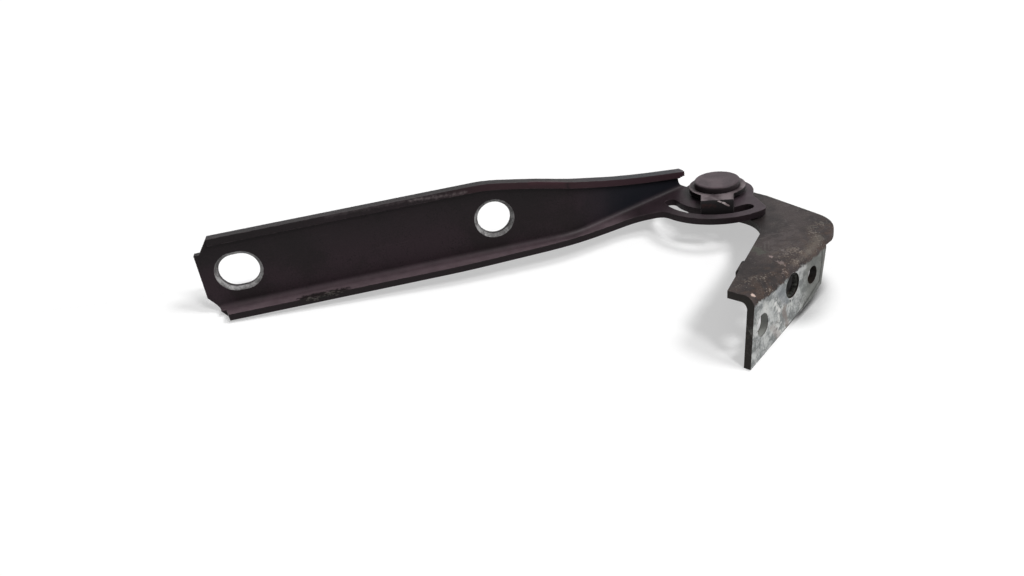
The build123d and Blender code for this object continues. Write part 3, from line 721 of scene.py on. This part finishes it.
studio = {
    # the hinge rests on the arm's end, the rivet's tail and the flange's corner
    "floorUp": (0.0603, -0.2340, 0.9704), "floorTone": 0.56, "floorLift": 0.46,
    # the floor is drawn in rings about the pivot: how far apart, how many, and the wider ones outside
    "ringGap": 0.012, "ringCount": 27, "outerRings": [0.4, 0.6, 1.2, 3.0, 9.0], "spokes": 240,
    # behind the arm the floor falls away, so that the arm can swing back over it: degrees about the pivot where the
    # fall starts and ends, how far out it starts and stops deepening and how steeply, and how soon it ends on the
    # other side
    "fall": {"angles": (-1.5, 12.0), "from": 0.062, "to": 0.26, "rate": 0.165, "fade": 0.6},
    # deep shade where the bracket stands over the floor: its middle, and how far it is full and where it ends
    "underBracket": (0.0078, 0.0158, -0.0135), "underReach": (0.010, 0.021), "shade": (0.02, 0.02, 0.02),
    "sky": 0.24,
    # strength, height and turn in degrees (0 is in front of the hinge, 90 is its right), size in degrees
    "lamps": {"window": (1.75, 57.0, 84.0, 16.0), "roofLight": (1.22, 57.0, 42.0, 13.0)},
}


def floorMesh(up, lowest):
    fall = studio["fall"]
    start, end = (math.radians(value) for value in fall["angles"])
    centre = Vector((pivot.x, pivot.y, 0))
    rings = [studio["ringGap"] * step for step in range(1, studio["ringCount"] + 1)] + studio["outerRings"]
    spokes = studio["spokes"]
    points = [centre.copy()]
    for ring in rings:
        for spoke in range(spokes):
            angle = 2 * math.pi * spoke / spokes
            points.append(centre + Vector((-math.cos(angle), math.sin(angle), 0)) * ring)
    for point in points:
        # on the flat floor first, then down where the arm swings back
        away = point - centre
        point.z = (lowest - up.x * point.x - up.y * point.y) / up.z
        angle = math.atan2(away.y, -away.x)
        share = min(1.0, max(0.0, (angle - start) / (end - start)))
        back = min(1.0, (math.pi - abs(angle)) / fall["fade"])
        depth = fall["rate"] * (min(fall["to"], max(fall["from"], away.xy.length)) - fall["from"])
        point -= up * depth * share * share * (3 - 2 * share) * back
    faces = [(0, 1 + (spoke + 1) % spokes, 1 + spoke) for spoke in range(spokes)]
    for ring in range(len(rings) - 1):
        inner, outer = 1 + ring * spokes, 1 + (ring + 1) * spokes
        for spoke in range(spokes):
            after = (spoke + 1) % spokes
            faces.append((inner + spoke, inner + after, outer + after, outer + spoke))
    mesh = bpy.data.meshes.new("floor")
    mesh.from_pydata(points, [], faces)
    mesh.polygons.foreach_set("use_smooth", [True] * len(mesh.polygons))
    return mesh


def seenByCamera(tree):
    # 1 for what the camera sees, also in a reflection or through glass
    path = wire(tree, "LightPath").outputs
    seen = maths(tree, "MAXIMUM", path["Is Camera Ray"], path["Is Glossy Ray"])
    return maths(tree, "MAXIMUM", seen, path["Is Transmission Ray"])


def buildFloor():
    up = Vector(studio["floorUp"]).normalized()
    lowest = min(up.dot(v.co) for o in nodes.values() for v in o.data.vertices)
    side = up.cross(Vector((0, 1, 0))).normalized()
    ahead = side.cross(up) * -1
    mesh = floorMesh(up, lowest)
    floor = bpy.data.objects.new("floor", mesh)
    bpy.context.collection.objects.link(floor)
    material = bpy.data.materials.new("pale floor")
    material.use_nodes = True
    tree = material.node_tree
    tree.nodes.remove(tree.nodes["Principled BSDF"])
    # lit as if it were flat all over
    flat = wire(tree, "CombineXYZ", {"X": up.x, "Y": up.y, "Z": up.z}).outputs[0]
    matt = wire(tree, "BsdfDiffuse", {"Normal": flat})
    clear = wire(tree, "AmbientOcclusion", {"Distance": 0.03}, samples=24).outputs["AO"]
    apart = gapTo(tree, wire(tree, "TexCoord").outputs["Object"], studio["underBracket"])
    full, ends = studio["underReach"]
    shade = times(tree, ramp(tree, clear, 0.9, 0.5), ramp(tree, apart, ends, full))
    tone = [studio["floorTone"]] * 3
    tree.links.new(tint(tree, maths(tree, "MULTIPLY", shade, 0.9), tone, studio["shade"]), matt.inputs["Color"])
    lift = times(tree, seenByCamera(tree), maths(tree, "SUBTRACT", 1.0, shade), studio["floorLift"])
    glow = wire(tree, "Emission", {"Strength": lift}).outputs[0]
    both = wire(tree, "AddShader", {0: matt.outputs[0], 1: glow}).outputs[0]
    tree.links.new(both, tree.nodes["Material Output"].inputs["Surface"])
    mesh.materials.append(material)
    return up, side, ahead


def lightRoom(up, side, ahead):
    world = bpy.data.worlds.new("studio")
    bpy.context.scene.world = world
    world.use_nodes = True
    tree = world.node_tree
    sky = tree.nodes["Background"]
    sky.inputs["Color"].default_value = (1, 1, 1, 1)
    tree.links.new(ramp(tree, seenByCamera(tree), 0.0, 1.0, studio["sky"], 1.0, smooth=False), sky.inputs["Strength"])
    for name, (strength, height, turn, size) in studio["lamps"].items():
        lamp = bpy.data.lights.new(name, "SUN")
        lamp.energy = strength
        lamp.angle = math.radians(size)
        sun = bpy.data.objects.new(name, lamp)
        bpy.context.collection.objects.link(sun)
        height, turn = math.radians(height), math.radians(turn)
        away = (ahead * math.cos(turn) - side * math.sin(turn)) * math.cos(height) + up * math.sin(height)
        sun.rotation_euler = away.to_track_quat("Z", "Y").to_euler()


up, side, ahead = buildFloor()
lightRoom(up, side, ahead)

view = {
    "place": (-0.12193, -0.25433, 0.15543),
    "right": (0.97393, -0.17687, -0.14207), "up": (0.20720, 0.43846, 0.87454), "back": (-0.09239, -0.88117, 0.46368),
    "lens": 31.64,
}
cameraData = bpy.data.cameras.new("camera")
cameraData.lens = view["lens"]
cameraData.sensor_width = 36.0
cameraData.clip_start = 0.01
cameraData.clip_end = 50.0
camera = bpy.data.objects.new("camera", cameraData)
bpy.context.collection.objects.link(camera)
turn = Matrix((view["right"], view["up"], view["back"])).transposed()
camera.matrix_world = Matrix.Translation(view["place"]) @ turn.to_4x4()
scene = bpy.context.scene
scene.camera = camera
scene.view_settings.view_transform = "Standard"
print("floor, lamps and camera")
